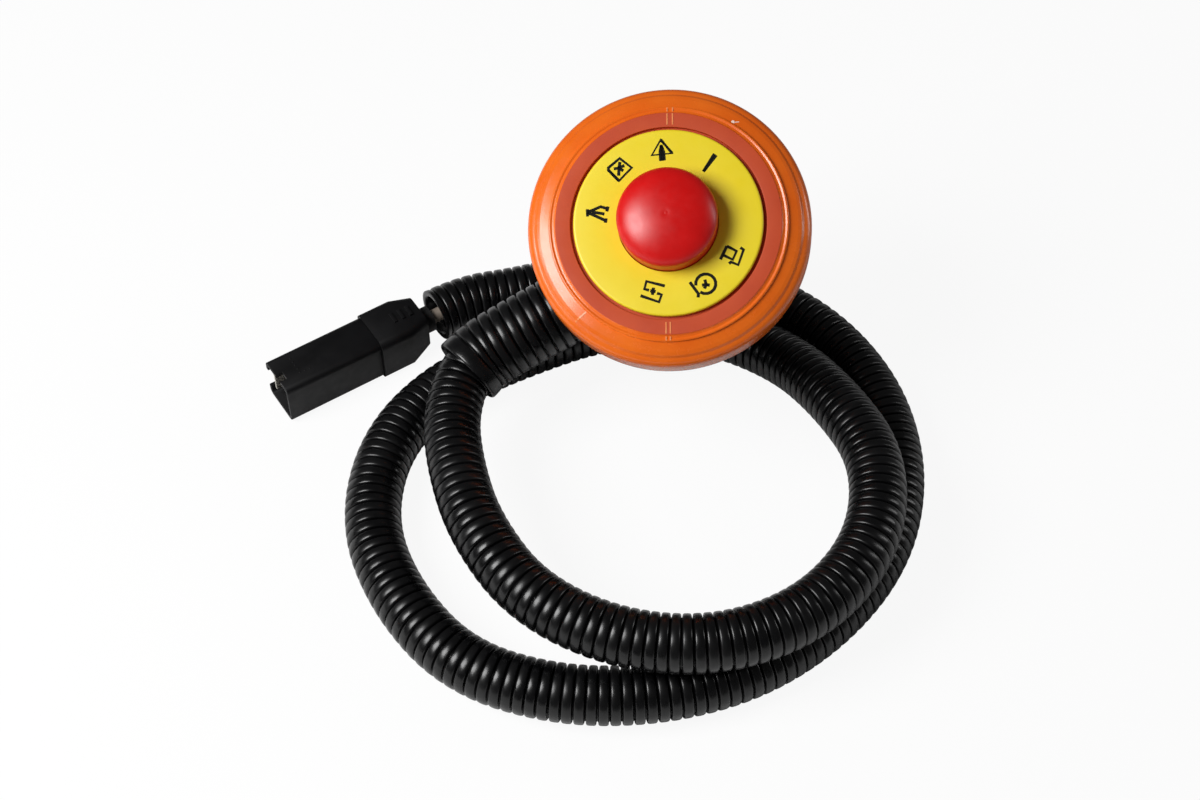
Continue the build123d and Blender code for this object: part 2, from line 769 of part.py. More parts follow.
# Conduit: straight runs joined by tangent arcs
with BuildPart() as conduit:
    with BuildLine() as conduit_line:
        FilletPolyline(*ROUTE, radius=bends)
    with BuildSketch(Plane(origin=ROUTE[0], z_dir=conduit_line.wire() % 0)):
        Circle(CONDUIT_D / 2)
    sweep(path=conduit_line.wire())
    # Open end towards the plug
    with BuildSketch(PLUG):
        Circle(END_RECESS_R)
    extrude(amount=-END_RECESS, mode=Mode.SUBTRACT)
conduit.part.label = "conduit"
conduit_long = conduit_line.wire().length
print("conduit length:", round(conduit_long, 1))
print(
    "conduit volume over section x length:",
    round(conduit.part.volume / (math.pi * CONDUIT_D ** 2 / 4 * conduit_long), 4),
)

# Sleeve: the same centre line from the outlet into the first tight bend
arc_turn = math.radians((ROUTE[2] - ROUTE[1]).get_angle(ROUTE[3] - ROUTE[2]))
arc_long = bends[1] * arc_turn
with BuildPart() as conduit_sleeve:
    with BuildLine() as sleeve_line:
        FilletPolyline(*ROUTE[:4], radius=bends[:2])
    to_bend = sleeve_line.wire().length
    tail = (ROUTE[3] - ROUTE[2]).length - 0.45 * min(
        (ROUTE[2] - ROUTE[1]).length, (ROUTE[3] - ROUTE[2]).length
    )
    sleeve_long = to_bend - tail - (1 - SLEEVE_SHARE) * arc_long
    sleeve_path = sleeve_line.wire().trim(0, sleeve_long / to_bend)
    with BuildSketch(Plane(origin=ROUTE[0], z_dir=sleeve_line.wire() % 0)):
        Circle(sleeve_r)
        Circle(sleeve_bore_r, mode=Mode.SUBTRACT)
    sweep(path=sleeve_path)
conduit_sleeve.part.label = "conduit_sleeve"
print("sleeve length:", round(sleeve_long, 1))

# Plug: front box with a mouth, two side slots
with BuildPart() as plug_shell:
    with BuildSketch(PLUG.offset(BOX_FROM)):
        RectangleRounded(BOX_W, BOX_H, BOX_ROUND)
    extrude(amount=BOX_TO - BOX_FROM)
    with BuildSketch(PLUG.offset(BOX_TO)):
        RectangleRounded(BOX_W - 2 * BOX_WALL, BOX_H - 2 * BOX_WALL, BOX_ROUND - 0.8)
    extrude(amount=-MOUTH_DEPTH, mode=Mode.SUBTRACT)
    # Slot in the wall away from the viewer and a notch in the top
    with BuildSketch(PLUG.offset(BOX_TO)):
        with Locations((-BOX_W / 2, 0)):
            Rectangle(2.4 * BOX_WALL, SLOT_W)
    extrude(amount=-SLOT_LONG, mode=Mode.SUBTRACT)
    with BuildSketch(PLUG.offset(BOX_TO)):
        with Locations((BOX_W / 12, BOX_H / 2)):
            Rectangle(NOTCH_W, 2.4 * BOX_WALL)
    extrude(amount=-NOTCH_LONG, mode=Mode.SUBTRACT)
    # Seats for the blades
    with BuildSketch(PLUG.offset(BOX_TO - MOUTH_DEPTH)):
        with Locations((-BLADE_X, 0), (BLADE_X, 0)):
            Rectangle(BLADE_W, BLADE_H)
    extrude(amount=-BLADE_ROOT, mode=Mode.SUBTRACT)
plug_shell.part.label = "plug_shell"

with BuildPart() as plug_blades:
    with BuildSketch(PLUG.offset(BOX_TO - MOUTH_DEPTH - BLADE_ROOT)):
        with Locations((-BLADE_X, 0), (BLADE_X, 0)):
            Rectangle(BLADE_W, BLADE_H)
    extrude(amount=MOUTH_DEPTH + BLADE_ROOT - BLADE_RECESS)
plug_blades.part.label = "plug_blades"

# Rear shell: straight collar, then a tapering tail
with BuildPart() as plug_body:
    with BuildSketch(PLUG.offset(BODY_FROM)) as tail_end:
        with Locations((0, TAIL_RISE)):
            RectangleRounded(TAIL_W, TAIL_H, BOX_ROUND + 0.6)
    with BuildSketch(PLUG.offset(BODY_FROM + BODY_FLAT)) as tail_start:
        RectangleRounded(BODY_W, BODY_H, BOX_ROUND + 0.6)
    loft()
    with BuildSketch(PLUG.offset(BODY_FROM + BODY_FLAT)):
        RectangleRounded(BODY_W, BODY_H, BOX_ROUND + 0.6)
    extrude(amount=BOX_FROM - BODY_FROM - BODY_FLAT)
    # Grip ribs on the top
    with BuildSketch(Plane(
        origin=PLUG.origin + Vector(0, 0, BODY_H / 2 - RIB_SINK),
        x_dir=plug_dir,
        z_dir=(0, 0, 1),
    )):
        for i in range(RIB_COUNT):
            with Locations((BODY_FROM + BODY_FLAT - RIB_BACK + i * RIB_PITCH, 0)):
                Rectangle(1.1, RIB_W)
    extrude(amount=RIB_SINK + RIB_T)
plug_body.part.label = "plug_body"

with BuildPart() as plug_boot:
    with BuildSketch(PLUG.offset(BOOT_FROM)):
        Circle(BOOT_R)
        Circle(LEAD_R, mode=Mode.SUBTRACT)
    extrude(amount=BODY_FROM - BOOT_FROM)
plug_boot.part.label = "plug_boot"

with BuildPart() as plug_lead:
    with BuildSketch(PLUG.offset(-END_RECESS)):
        Circle(LEAD_R)
    extrude(amount=END_RECESS + BODY_FROM)
plug_lead.part.label = "plug_lead"

nodes = {
    "flange_housing": flange_housing,
    "label_disc": label_disc,
    "guide_bush": guide_bush,
    "detent_ring": detent_ring,
    "bush_washer": bush_washer,
    "bush_nut": bush_nut,
    "button_cap": button_cap,
    "plunger": plunger,
    "return_spring": return_spring,
    "contact_block": contact_block,
    "block_lid": block_lid,
    "fixed_contacts": fixed_contacts,
    "terminal_screws": terminal_screws,
    "contact_bridge": contact_bridge,
    "stem_clip": stem_clip,
    "bridge_spring": bridge_spring,
    "rear_cover": rear_cover,
    "cover_gasket": cover_gasket,
    "cover_screws": cover_screws,
    "wire_grommet": wire_grommet,
    "lead_brown": lead_brown,
    "lead_blue": lead_blue,
    "conduit": conduit,
    "conduit_sleeve": conduit_sleeve,
    "plug_shell": plug_shell,
    "plug_blades": plug_blades,
    "plug_body": plug_body,
    "plug_boot": plug_boot,
    "plug_lead": plug_lead,
}
for name, node in nodes.items():
    export_step(node.part, "parts/" + name + ".step")
    print(name, round(node.part.volume, 1))
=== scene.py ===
# %% [markdown]
# # A stop button on a coiled conduit
# The object is a push button for stopping a machine. A red cap sits in a yellow label disc,
# the disc sits in a round orange housing, and the leads leave through a long black
# corrugated conduit that lies in two loose turns under the head and ends in a flat plug.
#
# The solids come from the CAD model as a fixed frame in metres. This lesson dresses them:
# it keeps the ones whose shape is already right, and makes a finer mesh for those that the
# eye rests on.

# %% Load the frame
import math

import bmesh
import bpy
from mathutils import Matrix, Vector


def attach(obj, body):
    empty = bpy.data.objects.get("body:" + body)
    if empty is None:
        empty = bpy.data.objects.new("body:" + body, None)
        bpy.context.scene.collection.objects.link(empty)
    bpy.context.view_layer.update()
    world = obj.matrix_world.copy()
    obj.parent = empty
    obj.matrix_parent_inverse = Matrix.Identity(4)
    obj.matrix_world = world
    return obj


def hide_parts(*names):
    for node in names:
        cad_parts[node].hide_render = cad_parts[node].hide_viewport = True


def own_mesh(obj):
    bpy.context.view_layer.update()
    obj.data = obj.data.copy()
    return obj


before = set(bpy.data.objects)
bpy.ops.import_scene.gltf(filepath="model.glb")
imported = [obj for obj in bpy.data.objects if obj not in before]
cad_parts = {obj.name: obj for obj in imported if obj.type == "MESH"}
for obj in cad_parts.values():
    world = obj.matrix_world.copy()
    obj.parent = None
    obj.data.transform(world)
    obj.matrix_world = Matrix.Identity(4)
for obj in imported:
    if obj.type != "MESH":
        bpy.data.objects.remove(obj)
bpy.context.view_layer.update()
MM = 0.001

# %% [markdown]
# ## Three small helpers for every material
# A colour picked from a screen is written in sRGB, but the renderer adds light in linear
# values, so one function turns the hex value round. Node trees get long quickly, so one
# function adds a node: its settings are attributes, its inputs are values or other sockets.
# The third makes a colour ramp from a list of stops.

# %% Colour and node helpers


def linear(code):
    """The linear colour of an sRGB hex value such as #EA6612."""
    parts = [int(code[i:i + 2], 16) / 255 for i in (1, 3, 5)]
    return (*[c / 12.92 if c <= 0.04045 else ((c + 0.055) / 1.055) ** 2.4 for c in parts], 1.0)


def add(tree, kind, inputs=None, **settings):
    """A new node with its settings, and each input set to a value or linked to a socket."""
    node = tree.nodes.new(kind)
    for name, value in settings.items():
        setattr(node, name, value)
    for name, value in (inputs or {}).items():
        if isinstance(value, bpy.types.NodeSocket):
            tree.links.new(value, node.inputs[name])
        else:
            node.inputs[name].default_value = value
    return node


def ramp(tree, factor, stops):
    """A colour ramp through (position, hex) stops."""
    node = add(tree, "ShaderNodeValToRGB", {"Fac": factor})
    band = node.color_ramp
    while len(band.elements) < len(stops):
        band.elements.new(0.5)
    for element, (place, code) in zip(band.elements, stops):
        element.position = place
        element.color = linear(code)
    return node.outputs["Color"]


print("orange in linear values:", [round(c, 3) for c in linear("#EA6612")])

# %% [markdown]
# ## Moulded plastics
# Nearly everything here is injection-moulded plastic: ABS for the housing, the disc, the
# cap and the plug, and polyamide for the conduit. Such a surface isn't one flat colour. The
# pigment is a little uneven over some millimetres, handling leaves the gloss uneven, and the
# tool's texture gives it a fine grain. Each material is therefore built from the same
# three noises on Object coordinates, whose scale is worked out from a size in millimetres.

# %% A moulded plastic with uneven pigment, gloss and grain


def per_mm(size):
    """The noise scale whose features are about that many millimetres across."""
    return 1.0 / (size * MM)


def plastic(name, colours, gloss, cloud=14.0, grain=0.35, grain_depth=0.006, ior=1.53, coat=0.0):
    """A moulded plastic: colours are two hex values, gloss the least and most roughness."""
    material = bpy.data.materials.new(name)
    material.use_nodes = True
    tree = material.node_tree
    shader = tree.nodes["Principled BSDF"]
    place = add(tree, "ShaderNodeTexCoord").outputs["Object"]
    pigment = add(tree, "ShaderNodeTexNoise",
                  {"Vector": place, "Scale": per_mm(cloud), "Detail": 4.0, "Roughness": 0.55})
    wear = add(tree, "ShaderNodeTexNoise",
               {"Vector": place, "Scale": per_mm(cloud * 0.3), "Detail": 6.0, "Roughness": 0.6})
    tooth = add(tree, "ShaderNodeTexNoise",
                {"Vector": place, "Scale": per_mm(grain), "Detail": 2.0})
    tint = ramp(tree, pigment.outputs["Fac"], [(0.3, colours[0]), (0.7, colours[1])])
    rough = add(tree, "ShaderNodeMapRange",
                {"Value": wear.outputs["Fac"], "From Min": 0.3, "From Max": 0.7,
                 "To Min": gloss[0], "To Max": gloss[1]})
    bump = add(tree, "ShaderNodeBump",
               {"Height": tooth.outputs["Fac"], "Strength": 0.35,
                "Distance": grain_depth * MM})
    tree.links.new(tint, shader.inputs["Base Color"])
    tree.links.new(rough.outputs["Result"], shader.inputs["Roughness"])
    tree.links.new(bump.outputs["Normal"], shader.inputs["Normal"])
    shader.inputs["IOR"].default_value = ior
    shader.inputs["Coat Weight"].default_value = coat
    shader.inputs["Coat Roughness"].default_value = 0.12
    return material


orange_abs = plastic("orange_abs_polished", ("#EA6612", "#F4741C"), (0.2, 0.3), coat=0.1)
terracotta_abs = plastic("orange_abs_sparked", ("#C03E0A", "#CA4812"), (0.55, 0.66),
                         grain_depth=0.02)
yellow_abs = plastic("yellow_abs_satin", ("#F3DA1E", "#F7E02C"), (0.36, 0.46))
red_abs = plastic("red_abs_polished", ("#CC0808", "#DC1010"), (0.3, 0.4), cloud=9.0)
black_abs = plastic("black_abs_satin", ("#070708", "#0D0D0F"), (0.48, 0.6), grain_depth=0.01,
                    ior=1.33)
cover_polyamide = plastic("black_glass_filled_polyamide", ("#0E0E10", "#17171A"), (0.5, 0.62),
                          grain=0.6, grain_depth=0.03)
print("plastics so far:", len(bpy.data.materials))

# %% [markdown]
# ## The camera
# The photograph was taken from above, 52.5 degrees over the table, with a lens of about
# 64 mm on a full frame. Its place comes from fitting the disc, the flange and the coil to
# their outlines, so the camera stands where the photographer's did and needs no shift.

# %% Camera at the photograph's viewpoint
CAMERA_ELEVATION = 52.5
CAMERA_PLACE = Vector((-22.32, -457.28, 508.8))
camera_data = bpy.data.cameras.new("photo_camera")
camera = bpy.data.objects.new("photo_camera", camera_data)
bpy.context.scene.collection.objects.link(camera)
camera.location = CAMERA_PLACE * MM
camera.rotation_euler = (math.radians(90 - CAMERA_ELEVATION), 0.0, 0.0)
camera_data.sensor_width = 36.0
camera_data.lens = 64.5
camera_data.clip_start = 0.01
bpy.context.scene.camera = camera
print("camera height over the flange, mm:", round(CAMERA_PLACE.z, 1))

# %% [markdown]
# ## The route of the conduit
# The conduit is the cord of this object. Its centre line is one NURBS spline: it leaves the
# head to the left, drops, goes round under the head in a small turn, and then round again
# in a wider one on the floor, until it meets the plug. The control points are the corners
# of the CAD tube's runs. The order is set after the points, because before that the
# spline has too few points to take it.

# %% The centre line as a NURBS spline
CONDUIT_DIAMETER = 18.5
FLOOR = -78.2
plug_axis = Vector((-0.838, -0.545, 0.0)).normalized()
plug_end = Vector((-79.6, 23.4, -68.95))
ROUTE = [
    (-24.42, 1.19, -30.87), (-46.06, -7.88, -37.91), (-66.2, -17.0, -46.0),
    (-71.0, -35.3, -48.9), (-68.4, -56.8, -47.8), (-61.3, -80.4, -48.1),
    (-44.5, -104.9, -49.9), (-16.5, -119.5, -50.8), (15.1, -122.1, -49.9),
    (44.4, -109.2, -49.9), (63.6, -84.1, -49.8), (67.6, -52.0, -51.0),
    (55.6, -23.7, -55.5), (40.7, 2.7, -65.7), (14.0, 18.8, -68.95),
    (-18.5, 20.3, -68.95), (-46.9, 8.5, -68.95), (-74.8, -7.1, -68.95),
    (-93.6, -31.7, -68.95), (-97.8, -64.2, -68.95), (-86.7, -93.1, -68.95),
    (-66.1, -117.6, -68.95), (-36.2, -128.1, -68.95), (-4.8, -128.2, -68.95),
    (25.5, -119.4, -68.95), (50.8, -100.9, -68.95), (69.5, -75.4, -68.95),
    (76.8, -44.8, -68.95), (72.8, -13.4, -68.95), (57.3, 14.1, -68.95),
    (32.3, 33.4, -68.95), (1.9, 41.8, -68.95), (-27.3, 41.0, -68.95),
    (-51.1, 33.5, -68.95), tuple(plug_end - plug_axis * 12), tuple(plug_end),
]


def route_curve(name):
    """A curve object of one open NURBS spline through the route's control points."""
    data = bpy.data.curves.new(name, "CURVE")
    data.dimensions = "3D"
    spline = data.splines.new("NURBS")
    spline.points.add(len(ROUTE) - 1)
    for point, place in zip(spline.points, ROUTE):
        point.co = (*(Vector(place) * MM), 1.0)
    spline.order_u = 3
    spline.use_endpoint_u = True
    data.resolution_u = 24
    curve = bpy.data.objects.new(name, data)
    bpy.context.scene.collection.objects.link(curve)
    return curve


def set_inputs(modifier, values):
    """Sets a Geometry Nodes modifier's inputs, named in values, by their identifiers."""
    for item in modifier.node_group.interface.items_tree:
        if item.in_out == "INPUT" and item.name in values:
            modifier[item.identifier] = values[item.name]


def mesh_of(obj, name):
    """The evaluated object as a plain mesh object at the origin."""
    bpy.context.view_layer.update()
    depsgraph = bpy.context.evaluated_depsgraph_get()
    mesh = bpy.data.meshes.new_from_object(obj.evaluated_get(depsgraph))
    mesh.name = name
    plain = bpy.data.objects.new(name, mesh)
    bpy.context.scene.collection.objects.link(plain)
    return plain


route = route_curve("route")
line = mesh_of(route, "route_line")
path = [v.co.copy() for v in line.data.vertices]
bpy.data.objects.remove(line)
path_length = sum((b - a).length for a, b in zip(path, path[1:]))
print("centre line:", len(path), "points,", round(path_length / MM, 1), "mm")

# %% [markdown]
# ## The conduit's ribs
# A corrugated conduit is extruded hot into travelling half moulds, so its wall is a row of
# equal ribs: a broad flat crest, a short steep side and a narrow groove, every 3.5 mm. That
# is a rule along a path, so Geometry Nodes make it. The tree puts ten rings on each rib, at
# uneven steps, and gives each ring the radius that the rib's section has there. The same
# tree makes the larger sleeve at the head from the first stretch of the same line.

# %% A Geometry Nodes tree for ribbed hose
RIB_SECTION = [
    # share of the pitch, depth from crest (0) to groove (1)
    (0.0, 0.0), (0.24, 0.03), (0.34, 0.14), (0.395, 0.38), (0.43, 0.92),
    (0.475, 1.0), (0.52, 0.92), (0.555, 0.38), (0.61, 0.14), (0.71, 0.03),
]


def pick(tree, index, values):
    """The value that belongs to an index, from a short list."""
    node = add(tree, "GeometryNodeIndexSwitch", data_type="FLOAT")
    while len(node.index_switch_items) < len(values):
        node.index_switch_items.new()
    tree.links.new(index, node.inputs["Index"])
    for i, value in enumerate(values):
        node.inputs[i + 1].default_value = value
    return node.outputs[0]


def hose_tree():
    tree = bpy.data.node_groups.new("ribbed_hose", "GeometryNodeTree")
    face = tree.interface
    face.new_socket("Geometry", in_out="INPUT", socket_type="NodeSocketGeometry")
    for name, kind in (("Start", "Float"), ("Length", "Float"), ("Ribs", "Int"),
                       ("Crest radius", "Float"), ("Groove depth", "Float"),
                       ("Sides", "Int"), ("Plastic", "Material")):
        face.new_socket(name, in_out="INPUT", socket_type="NodeSocket" + kind)
    face.new_socket("Geometry", in_out="OUTPUT", socket_type="NodeSocketGeometry")
    given = add(tree, "NodeGroupInput").outputs

    rings = len(RIB_SECTION)
    count = add(tree, "FunctionNodeIntegerMath", {0: given["Ribs"], 1: rings},
                operation="MULTIPLY")
    count = add(tree, "FunctionNodeIntegerMath", {0: count.outputs[0], 1: 1})
    index = add(tree, "GeometryNodeInputIndex").outputs[0]
    in_rib = add(tree, "FunctionNodeIntegerMath", {0: index, 1: rings}, operation="MODULO")
    rib = add(tree, "FunctionNodeIntegerMath", {0: index, 1: rings},
              operation="DIVIDE_FLOOR")
    share = pick(tree, in_rib.outputs[0], [s for s, d in RIB_SECTION])
    depth = pick(tree, in_rib.outputs[0], [d for s, d in RIB_SECTION])

    pitch = add(tree, "ShaderNodeMath", {0: given["Length"], 1: given["Ribs"]},
                operation="DIVIDE").outputs[0]
    turns = add(tree, "ShaderNodeMath", {0: rib.outputs[0], 1: share}).outputs[0]
    along = add(tree, "ShaderNodeMath", {0: turns, 1: pitch, 2: given["Start"]},
                operation="MULTIPLY_ADD").outputs[0]
    sample = add(tree, "GeometryNodeSampleCurve",
                 {"Curves": given["Geometry"]}, mode="LENGTH")
    tree.links.new(along, sample.inputs["Length"])

    points = add(tree, "GeometryNodeMeshLine", {"Count": count.outputs[0]})
    placed = add(tree, "GeometryNodeSetPosition",
                 {"Geometry": points.outputs[0], "Position": sample.outputs["Position"]})
    # The groove depth is stored on the rings, so the material can paint the grooves darker as
    # painted shade.
    stored = add(tree, "GeometryNodeStoreNamedAttribute",
                 {"Geometry": placed.outputs[0], "Name": "groove_shade", "Value": depth})
    centre = add(tree, "GeometryNodeMeshToCurve", {"Mesh": stored.outputs[0]})
    ring = add(tree, "GeometryNodeCurvePrimitiveCircle",
               {"Resolution": given["Sides"], "Radius": 1.0})
    less = add(tree, "ShaderNodeMath", {0: depth, 1: given["Groove depth"]},
               operation="MULTIPLY").outputs[0]
    radius = add(tree, "ShaderNodeMath", {0: given["Crest radius"], 1: less},
                 operation="SUBTRACT").outputs[0]
    wall = add(tree, "GeometryNodeCurveToMesh",
               {"Curve": centre.outputs[0], "Profile Curve": ring.outputs[0],
                "Scale": radius})
    smooth = add(tree, "GeometryNodeSetShadeSmooth", {"Geometry": wall.outputs[0]})
    real = add(tree, "GeometryNodeRealizeInstances", {"Geometry": smooth.outputs[0]})
    painted = add(tree, "GeometryNodeSetMaterial",
                  {"Geometry": real.outputs[0], "Material": given["Plastic"]})
    add(tree, "NodeGroupOutput", {"Geometry": painted.outputs[0]})
    return tree


ribbed_hose = hose_tree()
print("tree:", ribbed_hose.name, "with", len(ribbed_hose.nodes), "nodes")

# %% [markdown]
# ## Polyamide for the conduit
# The conduit is black polyamide with a skin that is half glossy. Its black wanders a little
# at random, and its grooves are painted a darker black than the crests as painted shade, by
# the tree's groove depth. The gloss wanders with the same noise as the colour.

# %% Conduit material


def conduit_polyamide():
    material = bpy.data.materials.new("black_corrugated_polyamide")
    material.use_nodes = True
    tree = material.node_tree
    shader = tree.nodes["Principled BSDF"]
    place = add(tree, "ShaderNodeTexCoord").outputs["Object"]
    groove_shade = add(tree, "ShaderNodeAttribute", attribute_name="groove_shade").outputs["Fac"]
    smear = add(tree, "ShaderNodeTexNoise",
                {"Vector": place, "Scale": per_mm(9.0), "Detail": 5.0, "Roughness": 0.6})
    fine = add(tree, "ShaderNodeTexNoise",
               {"Vector": place, "Scale": per_mm(0.5), "Detail": 3.0})
    crest = ramp(tree, smear.outputs["Fac"], [(0.35, "#060607"), (0.7, "#0E0E0F")])
    # The grooves are mixed towards a darker black than the crests: painted shade.
    colour = add(tree, "ShaderNodeMix", {"Factor": groove_shade, 6: crest, 7: linear("#050506")},
                 data_type="RGBA").outputs[2]
    rough = add(tree, "ShaderNodeMapRange",
                {"Value": smear.outputs["Fac"], "From Min": 0.3, "From Max": 0.7,
                 "To Min": 0.22, "To Max": 0.36}).outputs["Result"]
    bump = add(tree, "ShaderNodeBump",
               {"Height": fine.outputs["Fac"], "Strength": 0.3, "Distance": 0.01 * MM})
    tree.links.new(colour, shader.inputs["Base Color"])
    tree.links.new(rough, shader.inputs["Roughness"])
    tree.links.new(bump.outputs["Normal"], shader.inputs["Normal"])
    shader.inputs["IOR"].default_value = 1.46
    return material


black_polyamide = conduit_polyamide()
print("made", black_polyamide.name)

# %% [markdown]
# ## Growing the hose, and closing its ends
# The modifier's inputs are set by their identifiers. Its result becomes a plain mesh, and
# the modifier goes. A cut end of the real conduit is a rim with a dark hole, so the last
# ring is turned inwards: first a wall, then a bore, then a floor some millimetres in.

# %% Hose maker


def grow_hose(name, start, length, ribs, crest, depth, sides):
    """A ribbed tube along the route from start, with an open mouth at its far end."""
    carrier = route_curve(name + "_carrier")
    modifier = carrier.modifiers.new("hose", "NODES")
    modifier.node_group = ribbed_hose
    set_inputs(modifier, {"Start": start, "Length": length, "Ribs": ribs,
                          "Crest radius": crest * MM, "Groove depth": depth * MM,
                          "Sides": sides, "Plastic": black_polyamide})
    hose = mesh_of(carrier, name)
    bpy.data.objects.remove(carrier)
    return hose


def turn_in(hose, sides, steps):
    """Turns the tube's last ring in through (radius mm, set back mm) steps, and shuts both ends."""
    shape = bmesh.new()
    shape.from_mesh(hose.data)
    shape.verts.ensure_lookup_table()
    first = shape.verts[:sides]
    ring = shape.verts[-sides:]
    near = shape.verts[-2 * sides:-sides]
    middle = sum((v.co for v in ring), Vector()) / sides
    back = (sum((v.co for v in near), Vector()) / sides - middle).normalized()
    spokes = [(v.co - middle).normalized() for v in ring]
    for radius, inward in steps:
        fresh = [shape.verts.new(middle + s * radius * MM + back * inward * MM)
                 for s in spokes]
        for i in range(sides):
            j = (i + 1) % sides
            shape.faces.new((ring[i], ring[j], fresh[j], fresh[i]))
        ring = fresh
    shape.faces.new(ring)
    shape.faces.new(first)
    bmesh.ops.recalc_face_normals(shape, faces=shape.faces)
    shape.to_mesh(hose.data)
    shape.free()


def smooth_below(obj, degrees):
    """Smooth faces, with edges sharper than that angle kept hard."""
    shape = bmesh.new()
    shape.from_mesh(obj.data)
    for one in shape.faces:
        one.smooth = True
    for edge in shape.edges:
        edge.smooth = edge.calc_face_angle(0.0) < math.radians(degrees)
    shape.to_mesh(obj.data)
    shape.free()


def triangles(obj):
    return sum(len(p.vertices) - 2 for p in obj.data.polygons)


# %% Conduit and sleeve
CONDUIT_SIDES = 28
CONDUIT_PITCH = 3.5
CONDUIT_GROOVE = 1.4
# The far end: a thin rim, then a bore with a floor, as (radius, set back).
CONDUIT_MOUTH = [(8.9, -0.15), (7.6, -0.15), (7.0, 0.3), (7.0, 5.0)]
conduit_radius = CONDUIT_DIAMETER / 2
conduit = grow_hose("corrugated_conduit", 0.0, path_length,
                    round(path_length / MM / CONDUIT_PITCH), conduit_radius,
                    CONDUIT_GROOVE, CONDUIT_SIDES)
turn_in(conduit, CONDUIT_SIDES, CONDUIT_MOUTH)
smooth_below(conduit, 60)
print("conduit:", triangles(conduit), "triangles")

SLEEVE_LENGTH = 46.0
SLEEVE_SIDES = 40
SLEEVE_RIBS, SLEEVE_CREST, SLEEVE_GROOVE = 13, 12.1, 1.3
# After the last rib comes a plain lip, 3.5 mm long and rounded over, and then the bore.
SLEEVE_LIP = [(12.2, -0.4), (12.25, -2.6), (12.1, -3.2), (11.75, -3.5), (11.4, -3.3),
              (11.2, -2.6), (11.1, 3.5), (9.62, 4.5), (9.62, 12.0)]
sleeve = grow_hose("conduit_sleeve_ribbed", 0.0, SLEEVE_LENGTH * MM, SLEEVE_RIBS,
                   SLEEVE_CREST, SLEEVE_GROOVE, SLEEVE_SIDES)
turn_in(sleeve, SLEEVE_SIDES, SLEEVE_LIP)
smooth_below(sleeve, 60)
print("sleeve:", triangles(sleeve), "triangles")

# %% [markdown]
# ## The head's own frame
# The head leans towards the viewer. Its pieces are turned shapes, so they are drawn as
# outlines of radius and height over the flange's rear plane, and one matrix takes them
# into place: its third column is the push axis.

# %% Head frame and lathe
PUSH_AXIS = Vector((-0.0816137, -0.48252916, 0.87206927)).normalized()
head_x = Vector((0.99666404, -0.0395128, 0.07141102)).normalized()
head_y = PUSH_AXIS.cross(head_x).normalized()
HEAD = Matrix((head_x, head_y, PUSH_AXIS)).transposed()


def on_head(x, y, height):
    """A point in the head's frame, in mm, as a point of the row, in metres."""
    return HEAD @ (Vector((x, y, height)) * MM)


def rounded(outline, closed=True, steps=5):
    """An outline of (radius, height, fillet) with each corner rounded by its fillet."""
    points = []
    last = len(outline) - 1
    for i, (r, h, fillet) in enumerate(outline):
        corner = Vector((r, h))
        if fillet == 0 or (not closed and i in (0, last)):
            points.append(corner)
            continue
        before = Vector(outline[i - 1][:2]) - corner
        after = Vector(outline[(i + 1) % len(outline)][:2]) - corner
        half = before.angle(after) / 2
        reach = min(fillet / math.tan(half), before.length * 0.49, after.length * 0.49)
        a = corner + before.normalized() * reach
        b = corner + after.normalized() * reach
        for k in range(steps + 1):
            t = k / steps
            points.append(a * (1 - t) ** 2 + corner * 2 * t * (1 - t) + b * t * t)
    return points


def turned(name, outline, materials, closed=True, sides=160):
    """An outline turned about the push axis into a closed mesh."""
    shape = bmesh.new()
    rings = []
    for point in outline:
        ring = []
        for i in range(sides):
            angle = 2 * math.pi * i / sides
            ring.append(shape.verts.new(on_head(point.x * math.cos(angle),
                                                point.x * math.sin(angle), point.y)))
        rings.append(ring)
    pairs = list(zip(rings, rings[1:])) + ([(rings[-1], rings[0])] if closed else [])
    for low, high in pairs:
        for i in range(sides):
            j = (i + 1) % sides
            shape.faces.new((low[i], low[j], high[j], high[i]))
    bmesh.ops.remove_doubles(shape, verts=shape.verts, dist=0.0005 * MM)
    bmesh.ops.recalc_face_normals(shape, faces=shape.faces)
    mesh = bpy.data.meshes.new(name)
    shape.to_mesh(mesh)
    shape.free()
    for material in materials:
        mesh.materials.append(material)
    piece = bpy.data.objects.new(name, mesh)
    bpy.context.scene.collection.objects.link(piece)
    smooth_below(piece, 38)
    return piece


def head_place(point):
    """Radius and height in mm of a point of the row, seen from the push axis."""
    height = point.dot(PUSH_AXIS)
    return (point - PUSH_AXIS * height).length / MM, height / MM


print("push axis leans", round(math.degrees(PUSH_AXIS.angle(Vector((0, 0, 1)))), 1), "degrees")

# %% [markdown]
# ## The orange flange
# The flange is one polished ABS moulding: a rounded outer edge, a shoulder that slopes up to
# radius 37, a narrow bead with a shallow groove, and a flat inner step. The tool was sparked
# rough there, so the step looks darker and duller. It is one turned mesh whose faces on the
# step, and in the gap round the disc, take the second material.

# %% Flange
FLANGE = [
    (41.4, 0.0, 0.3), (44.6, 0.0, 0.4), (44.6, 7.4, 0.0), (44.5, 8.19, 0.0),
    (44.19, 8.94, 0.0), (43.7, 9.57, 0.0), (43.06, 10.06, 0.0), (42.2, 10.38, 0.25),
    (41.5, 11.2, 0.8), (40.4, 11.7, 0.8), (37.45, 12.6, 0.15), (37.45, 13.3, 0.15),
    (37.0, 13.5, 0.25), (36.37, 13.22, 0.2), (35.7, 13.5, 0.2), (35.3, 14.0, 0.15),
    (30.65, 14.0, 0.25), (30.65, 12.6, 0.0), (29.05, 12.6, 0.0), (29.05, 13.2, 0.0),
    (17.2, 13.2, 0.2), (17.2, 8.0, 0.0), (11.25, 8.0, 0.0), (11.25, 4.5, 0.0),
    (20.5, 4.5, 0.0), (20.5, 9.2, 0.0), (25.5, 9.2, 0.0), (25.5, 0.0, 0.2),
    (28.0, 0.0, 0.2), (28.0, 9.2, 0.0), (38.5, 9.2, 0.0), (41.4, 6.5, 0.0),
]
